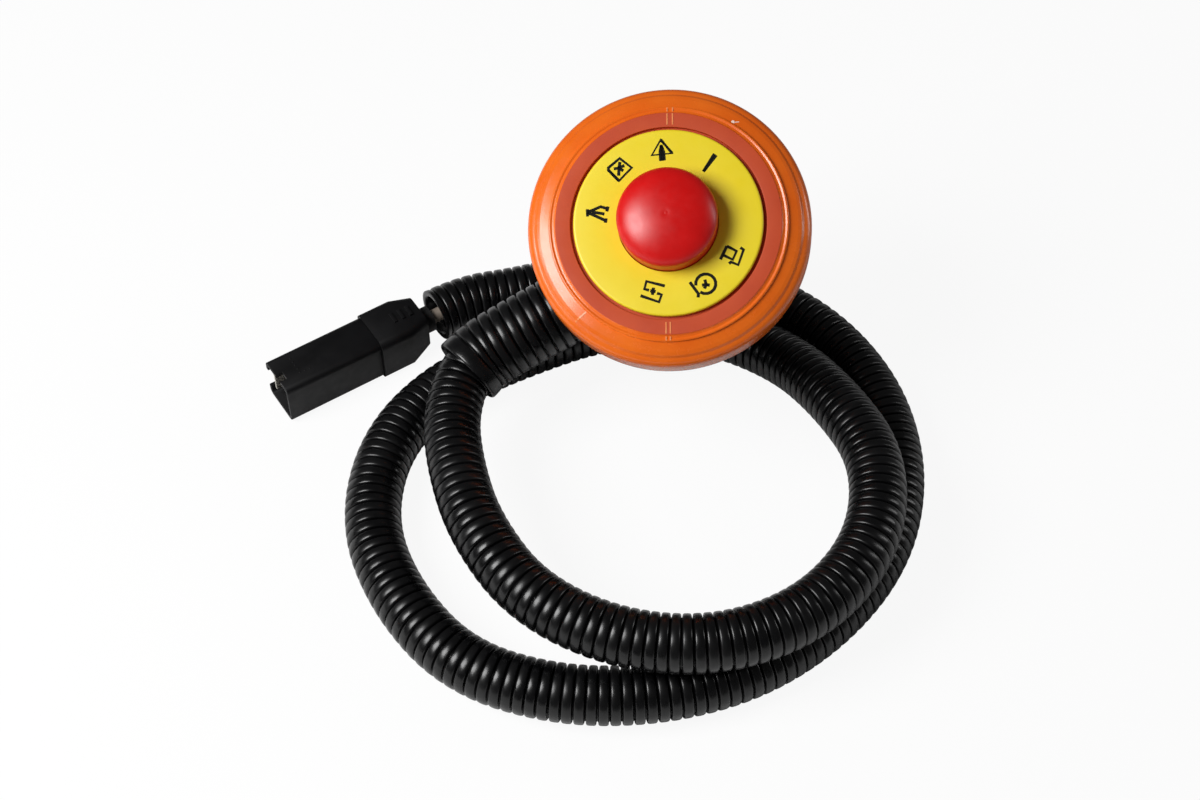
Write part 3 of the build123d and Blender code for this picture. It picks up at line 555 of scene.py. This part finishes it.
flange = turned("flange_moulding", rounded(FLANGE), [orange_abs, terracotta_abs])
STEP_INNER, STEP_OUTER, STEP_HEIGHT = 30.4, 35.35, 13.6
GAP_INNER, GAP_OUTER = 29.0, 30.7
for one in flange.data.polygons:
    radius, height = head_place(one.center)
    on_step = STEP_INNER < radius < STEP_OUTER and height > STEP_HEIGHT
    if on_step or GAP_INNER < radius < GAP_OUTER:
        one.material_index = 1
print("flange:", triangles(flange), "triangles")

# %% [markdown]
# ## The yellow disc and the red cap
# The disc is a plain washer with a bright bevel. The cap is a low ellipse of revolution on
# a short skirt, hollow underneath, with a hub that takes the stem. A faint round witness
# of the mould's gate sits in the middle of the dome.

# %% Disc
DISC = [(15.75, 13.22, 0.1), (29.65, 13.22, 0.1), (29.65, 15.0, 0.8), (15.75, 15.0, 0.15)]
disc = turned("label_disc_face", rounded(DISC), [yellow_abs], sides=192)

# %% Cap
DOME_RADIUS, DOME_START, DOME_RISE = 15.7, 21.6, 6.0


def cap_outline():
    gate = [(0.0, 27.585), (0.4, 27.585), (0.52, 27.56), (0.62, 27.56), (0.74, 27.585)]
    dome = []
    for k in range(4, 49):
        t = math.radians(90 * k / 48)
        dome.append((DOME_RADIUS * math.sin(t), DOME_START + DOME_RISE * math.cos(t)))
    skirt = [(15.7, 21.6, 0.0), (15.7, 21.3, 0.3), (15.55, 21.0, 0.3), (15.55, 14.6, 0.3),
             (14.3, 14.6, 0.2), (14.3, 21.4, 0.8), (11.8, 23.6, 1.0), (7.95, 24.65, 0.4),
             (7.95, 18.0, 0.3), (4.55, 18.0, 0.3), (4.55, 23.8, 0.3), (0.0, 23.8, 0.0)]
    return [Vector(p) for p in gate + dome] + rounded(skirt, closed=False)


cap = turned("mushroom_cap", cap_outline(), [red_abs], closed=False)
print("cap:", triangles(cap), "triangles")

# %% [markdown]
# ## Printed marks
# The disc carries small black pad-printed marks. They are drawn here as plain generic
# signs of the same size and place: strokes along short lines. Each stroke is a poly line,
# and a small Geometry Nodes tree gives all of them the width and thickness of the ink.

# %% A tree that turns lines into ink


def strip_tree():
    tree = bpy.data.node_groups.new("ink_strokes", "GeometryNodeTree")
    face = tree.interface
    face.new_socket("Geometry", in_out="INPUT", socket_type="NodeSocketGeometry")
    for name, kind in (("Width", "Float"), ("Thickness", "Float"), ("Ink", "Material")):
        face.new_socket(name, in_out="INPUT", socket_type="NodeSocket" + kind)
    face.new_socket("Geometry", in_out="OUTPUT", socket_type="NodeSocketGeometry")
    given = add(tree, "NodeGroupInput").outputs
    section = add(tree, "GeometryNodeCurvePrimitiveQuadrilateral",
                  {"Width": given["Width"], "Height": given["Thickness"]})
    level = add(tree, "GeometryNodeSetCurveNormal",
                {"Curve": given["Geometry"]}, mode="Z_UP")
    band = add(tree, "GeometryNodeCurveToMesh",
               {"Curve": level.outputs[0], "Profile Curve": section.outputs[0],
                "Fill Caps": True})
    real = add(tree, "GeometryNodeRealizeInstances", {"Geometry": band.outputs[0]})
    painted = add(tree, "GeometryNodeSetMaterial",
                  {"Geometry": real.outputs[0], "Material": given["Ink"]})
    add(tree, "NodeGroupOutput", {"Geometry": painted.outputs[0]})
    return tree


ink_strokes = strip_tree()
ink = plastic("black_pad_ink", ("#0C0E08", "#14160E"), (0.75, 0.85), cloud=3.0,
              ior=1.35)


def arc(x, y, radius, start, end, steps=14):
    """Points on a circle from one angle to another, in degrees."""
    return [(x + radius * math.cos(math.radians(start + (end - start) * k / steps)),
             y + radius * math.sin(math.radians(start + (end - start) * k / steps)))
            for k in range(steps + 1)]


# %% The seven marks, outward is up
MARKS = [
    # angle on the disc, distance from its centre, strokes in mm
    (94.7, 22.5, [[(0, 3.9), (3.2, -0.8), (-3.2, -0.8), (0, 3.9), (3.2, -0.8)],
                  [(0, 2.3), (0, -2.9)], [(0, 2.0), (-0.55, 0), (-0.55, -2.9)],
                  [(0, 2.0), (0.55, 0), (0.55, -2.9)]]),
    (55, 22.0, [[(-0.35, 3.9), (0, -2.7)], [(0.35, 3.9), (0, -2.7)]]),
    (131, 22.9, [[(-2.7, -2.8), (-2.9, 2.0), (-2.4, 2.6), (2.2, 2.5), (3.0, -2.3),
                  (-2.7, -2.8), (-2.9, 2.0)],
                 [(-1.7, -1.5), (0, 0.3), (1.5, 1.6)], [(-1.4, 1.2), (0, 0.3), (0.4, -1.3)],
                 [(0, 0.3), (1.8, -0.2)]]),
    (172, 22.3, [[(-1.3, 2.8), (1.0, 3.2)], [(0, 3.0), (2.3, -0.8), (1.9, -2.9)],
                 [(0, 3.0), (-1.9, -2.9)], [(0.3, 1.6), (0.1, -2.3)],
                 [(-2.6, -3.0), (-1.2, -3.0)], [(1.0, -2.9), (2.6, -3.1)]]),
    (-28.7, 22.9, [[(-1.7, -3.1), (2.9, -2.9)],
                   [(-1.7, -3.1), (-1.7, 0.3), (1.2, 0.5), (1.3, -2.9)],
                   [(-3.2, 0.8), (-3.1, 2.0), (1.9, 2.8), (2.1, 0.4), (2.9, 0.1)]]),
    (-61.2, 22.8, [arc(-0.6, 0.1, 3.1, 28, 340), [(-1.0, -1.2), (-0.6, 0.4), (0.5, 1.2)],
                   [(-1.5, 1.1), (-0.6, 0.4), (0.6, -0.1)], [(3.4, -2.8), (2.9, 1.7), (3.5, 2.7)]]),
    (-102.4, 22.4, [[(-3.3, -2.4), (2.6, -2.7), (2.7, -0.2), (1.2, -0.1)],
                    [(3.4, 2.1), (-2.6, 2.9), (-2.9, 0.5), (-1.4, 0.3)],
                    [(0, -1.2), (-0.1, 1.1)], [(-0.9, -0.1), (0.8, 0)]]),
]
INK_WIDTH, INK_THICKNESS, DISC_FACE = 0.98, 0.04, 15.0
lines = bpy.data.curves.new("mark_lines", "CURVE")
lines.dimensions = "3D"
for angle, distance, strokes in MARKS:
    out = Vector((math.cos(math.radians(angle)), math.sin(math.radians(angle))))
    side = Vector((out.y, -out.x))
    for stroke in strokes:
        spline = lines.splines.new("POLY")
        spline.points.add(len(stroke) - 1)
        for point, (x, y) in zip(spline.points, stroke):
            place = out * (distance + y) + side * x
            point.co = (place.x * MM, place.y * MM, 0.0, 1.0)
drawing = bpy.data.objects.new("mark_lines", lines)
bpy.context.scene.collection.objects.link(drawing)
modifier = drawing.modifiers.new("ink", "NODES")
modifier.node_group = ink_strokes
set_inputs(modifier, {"Width": INK_WIDTH * MM, "Thickness": INK_THICKNESS * MM, "Ink": ink})
marks = mesh_of(drawing, "disc_marks")
bpy.data.objects.remove(drawing)
marks.data.transform(Matrix.Translation((0, 0, (DISC_FACE + INK_THICKNESS / 2) * MM)))
marks.data.transform(HEAD.to_4x4())
smooth_below(marks, 20)
print("marks:", triangles(marks), "triangles")

# %% [markdown]
# ## What the mould leaves behind
# Two pairs of short witness lines cross the flange's step above and below the disc, a seam
# crosses its shoulder at the lower left, and a small nick sits at the upper right, coloured
# pale as a painted highlight. On the plug's top a few ejector dots stand in an L. They are small
# raised bars and
# studs, so one function makes a bar between two points, and one makes a stud.

# %% Witness lines, chip and dots


def bar(shape, start, end, normal, width, rise):
    """A box from start to end, in metres, that stands rise mm out of a face."""
    side = (end - start).cross(normal).normalized() * (width * MM / 2)
    sunk, stood = -normal * 0.1 * MM, normal * rise * MM
    corners = [p + q + r for r in (sunk, stood) for p in (start, end) for q in (side, -side)]
    v = [shape.verts.new(c) for c in corners]
    for loop in ((0, 1, 3, 2), (4, 6, 7, 5), (0, 4, 5, 1),
                 (2, 3, 7, 6), (0, 2, 6, 4), (1, 5, 7, 3)):
        shape.faces.new([v[i] for i in loop])


def stud(shape, centre, normal, radius, rise):
    """A low round button on a face: a foot ring, a top ring and a middle."""
    across = normal.orthogonal().normalized()
    along = normal.cross(across)
    rings = []
    for size, height in ((1.0, -0.1), (1.0, rise * 0.5), (0.7, rise)):
        rings.append([shape.verts.new(centre + normal * height * MM + size * radius * MM
                      * (across * math.cos(math.pi * k / 6) + along * math.sin(math.pi * k / 6)))
                      for k in range(12)])
    for low, high in zip(rings, rings[1:]):
        for k in range(12):
            shape.faces.new((low[k], low[(k + 1) % 12], high[(k + 1) % 12], high[k]))
    shape.faces.new(rings[-1])
    shape.faces.new(rings[0][::-1])


def piece_from(shape, name, material):
    bmesh.ops.recalc_face_normals(shape, faces=shape.faces)
    mesh = bpy.data.meshes.new(name)
    shape.to_mesh(mesh)
    shape.free()
    mesh.materials.append(material)
    piece = bpy.data.objects.new(name, mesh)
    bpy.context.scene.collection.objects.link(piece)
    return piece


def polar(radius, angle, height):
    a = math.radians(angle)
    return on_head(radius * math.cos(a), radius * math.sin(a), height)


# A line's place across the head, and +1 above the disc or -1 below it.
WITNESS_LINES = [(-0.2, 1), (1.5, 1), (-0.8, -1), (0.5, -1)]
LINE_WIDTH, SEAM_WIDTH = 0.4, 0.5
witness = bmesh.new()
for x, y in WITNESS_LINES:
    bar(witness, on_head(x, y * 31.4, 14.0), on_head(x, y * 35.0, 14.0), PUSH_AXIS,
        LINE_WIDTH, 0.12)
    bar(witness, on_head(x, y * 35.8, 13.4), on_head(x, y * 37.1, 13.4), PUSH_AXIS,
        LINE_WIDTH, 0.14)
bar(witness, polar(37.7, -133, 12.5), polar(40.4, -133.6, 11.7), PUSH_AXIS, SEAM_WIDTH, 0.14)
bar(witness, polar(40.4, -133.6, 11.65), polar(42.1, -134, 10.5), PUSH_AXIS, SEAM_WIDTH, 0.22)
flash_abs = plastic("orange_abs_flash", ("#EE8A4C", "#F4A068"), (0.25, 0.35), cloud=2.0)
witness_lines = piece_from(witness, "flange_witness_lines", flash_abs)

# The nick's pale colour is a painted highlight.
painted_highlight_abs = plastic("orange_abs_painted_highlight", ("#F6CDB6", "#FBE6DA"), (0.4, 0.6),
                      cloud=0.8)
chip = bmesh.new()
stud(chip, polar(38.1, 57.7, 12.36), PUSH_AXIS, 0.6, 0.14)
bar(chip, polar(38.2, 57.2, 12.32), polar(39.3, 55.4, 12.0), PUSH_AXIS, 0.3, 0.12)
chip_mark = piece_from(chip, "flange_chip", painted_highlight_abs)

PLUG_TOP = -60.5
# Each dot's place along the plug from the conduit, and across it.
PLUG_DOTS = [(54.2, -4.1), (54.2, -2.4), (54.2, -0.7), (54.2, 1.1), (54.2, 2.9),
             (52.4, 3.1), (50.6, 3.2)]
DOT_RADIUS, DOT_RISE = 0.35, 0.14
dots = bmesh.new()
plug_side = Vector((-plug_axis.y, plug_axis.x, 0.0))
for along, across in PLUG_DOTS:
    spot = plug_end + plug_axis * along + plug_side * across
    stud(dots, Vector((spot.x, spot.y, PLUG_TOP)) * MM, Vector((0, 0, 1)), DOT_RADIUS,
         DOT_RISE)
plug_dots = piece_from(dots, "plug_ejector_dots", black_abs)
print("witness lines, chip and", len(PLUG_DOTS), "dots")

# %% [markdown]
# ## Metals, rubber and leads
# The contacts are tinned brass, the screws zinc-plated steel, the springs drawn steel wire.
# Brushed and drawn metal has fine lines along the working direction, so their noise is
# stretched. Metals keep the default IOR and take their colour from the base colour.

# %% Metal and soft finishes


def metal(name, colours, gloss, stretch):
    """A metal with fine drawn lines: stretch is the noise's scale along X, Y and Z."""
    material = bpy.data.materials.new(name)
    material.use_nodes = True
    tree = material.node_tree
    shader = tree.nodes["Principled BSDF"]
    place = add(tree, "ShaderNodeTexCoord").outputs["Object"]
    pulled = add(tree, "ShaderNodeMapping", {"Vector": place, "Scale": stretch})
    grit = add(tree, "ShaderNodeTexNoise",
               {"Vector": pulled.outputs["Vector"], "Scale": per_mm(1.2), "Detail": 5.0})
    tint = ramp(tree, grit.outputs["Fac"], [(0.3, colours[0]), (0.7, colours[1])])
    rough = add(tree, "ShaderNodeMapRange",
                {"Value": grit.outputs["Fac"], "To Min": gloss[0], "To Max": gloss[1]})
    tree.links.new(tint, shader.inputs["Base Color"])
    tree.links.new(rough.outputs["Result"], shader.inputs["Roughness"])
    shader.inputs["Metallic"].default_value = 1.0
    return material


zinc = metal("zinc_plated_steel", ("#B9BCBE", "#D3D5D6"), (0.22, 0.4), (1.0, 1.0, 3.0))
wire = metal("drawn_spring_steel", ("#8E9093", "#ABADB0"), (0.25, 0.4), (1.0, 4.0, 1.0))
brass = metal("stamped_brass", ("#B98A3C", "#D0A455"), (0.22, 0.36), (3.0, 1.0, 1.0))
tinned = metal("tinned_brass", ("#D8D3C6", "#F0ECE2"), (0.3, 0.45), (4.0, 1.0, 1.0))
grey_acetal = plastic("grey_acetal_moulded", ("#66676A", "#727376"), (0.4, 0.5))
rubber = plastic("black_nitrile_rubber", ("#0C0C0C", "#161616"), (0.65, 0.8),
                 grain_depth=0.03)
brown_pvc = plastic("brown_lead_pvc", ("#6E5A4A", "#86705E"), (0.32, 0.45), cloud=4.0)
lead_sheath = plastic("plug_lead_sheath", ("#8C8074", "#A2968A"), (0.28, 0.4), cloud=4.0)
blue_pvc = plastic("blue_lead_pvc", ("#1B3F8A", "#234C9C"), (0.35, 0.48), cloud=4.0)
print("materials:", len(bpy.data.materials))

# %% [markdown]
# ## CAD nodes that keep their own shape
# The plug, the rear cover and the hidden works are used as the CAD gives them. A CAD mesh is
# loose triangles, so a Weld modifier joins them and an Edge Split keeps the real edges
# hard, which lets the round faces shade smoothly without touching the vertices. No moulded
# edge is perfectly sharp, so the plug and the cover get a fine bevel instead.

# %% Dress the CAD nodes
DRESS = {
    "plug_shell": black_abs, "plug_body": black_abs, "plug_blades": tinned,
    "plug_boot": rubber, "plug_lead": lead_sheath, "rear_cover": cover_polyamide,
    "cover_gasket": rubber, "cover_screws": zinc, "wire_grommet": rubber,
    "guide_bush": cover_polyamide, "bush_nut": cover_polyamide, "bush_washer": zinc,
    "detent_ring": wire, "return_spring": wire, "bridge_spring": wire,
    "stem_clip": wire, "plunger": grey_acetal, "contact_block": grey_acetal,
    "block_lid": cover_polyamide, "fixed_contacts": brass, "contact_bridge": brass,
    "terminal_screws": zinc, "lead_brown": brown_pvc, "lead_blue": blue_pvc,
}
ROUNDED_EDGES = {"plug_shell": 0.35, "plug_body": 0.6, "rear_cover": 0.4}
WELD_GAP, FLAT_ANGLE, BEVEL_ANGLE, SPLIT_ANGLE = 0.002, 0.5, 40, 32
for name, material in DRESS.items():
    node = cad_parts[name]
    node.data.materials.clear()
    node.data.materials.append(material)
    for one in node.data.polygons:
        one.use_smooth = True
    weld = node.modifiers.new("weld", "WELD")
    weld.merge_threshold = WELD_GAP * MM
    if name in ROUNDED_EDGES:
        flat = node.modifiers.new("flat", "DECIMATE")
        flat.decimate_type = "DISSOLVE"
        flat.angle_limit = math.radians(FLAT_ANGLE)
        bevel = node.modifiers.new("bevel", "BEVEL")
        bevel.width = ROUNDED_EDGES[name] * MM
        bevel.segments = 3
        bevel.limit_method = "ANGLE"
        bevel.angle_limit = math.radians(BEVEL_ANGLE)
        bevel.use_clamp_overlap = True
        bevel.harden_normals = True
    else:
        split = node.modifiers.new("edges", "EDGE_SPLIT")
        split.split_angle = math.radians(SPLIT_ANGLE)
print("dressed", len(DRESS), "CAD nodes")

# %% [markdown]
# ## Which piece rides on which body
# The cap turns and goes down with the stem; everything else here stays with the base. Each
# new piece hangs under its body, and the CAD nodes it stands for are hidden. The return spring
# stands on the bush's collar and gets a mesh of its own.

# %% Ride and replace
for piece, body, finish, nodes in (
        (flange, "base", "orange_plastic", ["flange_housing"]),
        (disc, "base", "yellow_plastic", ["label_disc"]),
        (marks, "base", "black_plastic", []),
        (witness_lines, "base", "orange_plastic", []),
        (chip_mark, "base", "orange_plastic", []),
        (plug_dots, "base", "black_plastic", []),
        (cap, "cap", "red_plastic", ["button_cap"]),
        (conduit, "base", "black_plastic", ["conduit"]),
        (sleeve, "base", "black_plastic", ["conduit_sleeve"])):
    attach(piece, body)
    if nodes:
        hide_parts(*nodes)

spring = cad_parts["return_spring"]
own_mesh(spring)

bpy.data.objects.remove(route)
print("free cord declared,", round(path_length / MM), "mm")

# %% [markdown]
# ## Floor and light
# The photograph is a packshot: a white floor without an edge, two soft boxes, and soft
# contact shadows. The floor is pale and shows itself white to the camera, and its
# own shading still carries the shadow.

# %% Floor
SHOWN_WHITE = 0.92      # share of plain white that the camera sees in place of the shading


def studio_floor():
    material = bpy.data.materials.new("white_sweep")
    material.use_nodes = True
    tree = material.node_tree
    shader = tree.nodes["Principled BSDF"]
    shader.inputs["Base Color"].default_value = linear("#F4F4F4")
    shader.inputs["Roughness"].default_value = 0.9
    seen = add(tree, "ShaderNodeLightPath")
    glow = add(tree, "ShaderNodeEmission", {"Color": linear("#FFFFFF"), "Strength": 1.0})
    share = add(tree, "ShaderNodeMath",
                {0: seen.outputs["Is Camera Ray"], 1: SHOWN_WHITE}, operation="MULTIPLY")
    both = add(tree, "ShaderNodeMixShader",
               {0: share.outputs[0], 1: shader.outputs[0], 2: glow.outputs[0]})
    tree.links.new(both.outputs[0], tree.nodes["Material Output"].inputs["Surface"])
    return material


FLOOR_HALF = 3.0
FLOOR_CORNERS = [(-1, -1), (1, -1), (1, 1), (-1, 1)]
floor_mesh = bpy.data.meshes.new("floor")
floor_mesh.from_pydata([(x * FLOOR_HALF, y * FLOOR_HALF, FLOOR * MM) for x, y in FLOOR_CORNERS],
                       [], [(0, 1, 2, 3)])
floor_mesh.materials.append(studio_floor())
floor = bpy.data.objects.new("floor", floor_mesh)
bpy.context.scene.collection.objects.link(floor)

# %% Soft boxes and world


def soft_box(name, place, aim, size, watts):
    """A rectangular area lamp at a place in metres, aimed at a point."""
    data = bpy.data.lights.new(name, "AREA")
    data.shape = "RECTANGLE"
    data.size, data.size_y = size
    data.energy = watts
    lamp = bpy.data.objects.new(name, data)
    lamp.location = place
    lamp.rotation_euler = (Vector(aim) - Vector(place)).to_track_quat("-Z", "Y").to_euler()
    bpy.context.scene.collection.objects.link(lamp)
    return lamp


soft_box("left_box", (-0.52, -0.24, 0.52), (-0.02, -0.04, -0.02), (0.4, 0.4), 6.5)
soft_box("right_box", (0.75, 0.1, 0.28), (0, -0.03, -0.02), (0.12, 0.5), 1.0)

world = bpy.data.worlds.new("studio")
bpy.context.scene.world = world
world.use_nodes = True
tree = world.node_tree
seen = add(tree, "ShaderNodeLightPath").outputs["Is Camera Ray"]
FILL, SEEN = 0.07, 1.0
level = add(tree, "ShaderNodeMapRange", {"Value": seen, "To Min": FILL, "To Max": SEEN})
back = tree.nodes["Background"]
back.inputs["Color"].default_value = linear("#FFFFFF")
tree.links.new(level.outputs["Result"], back.inputs["Strength"])
bpy.context.scene.view_settings.view_transform = "Standard"
print("lamps:", len(bpy.data.lights))
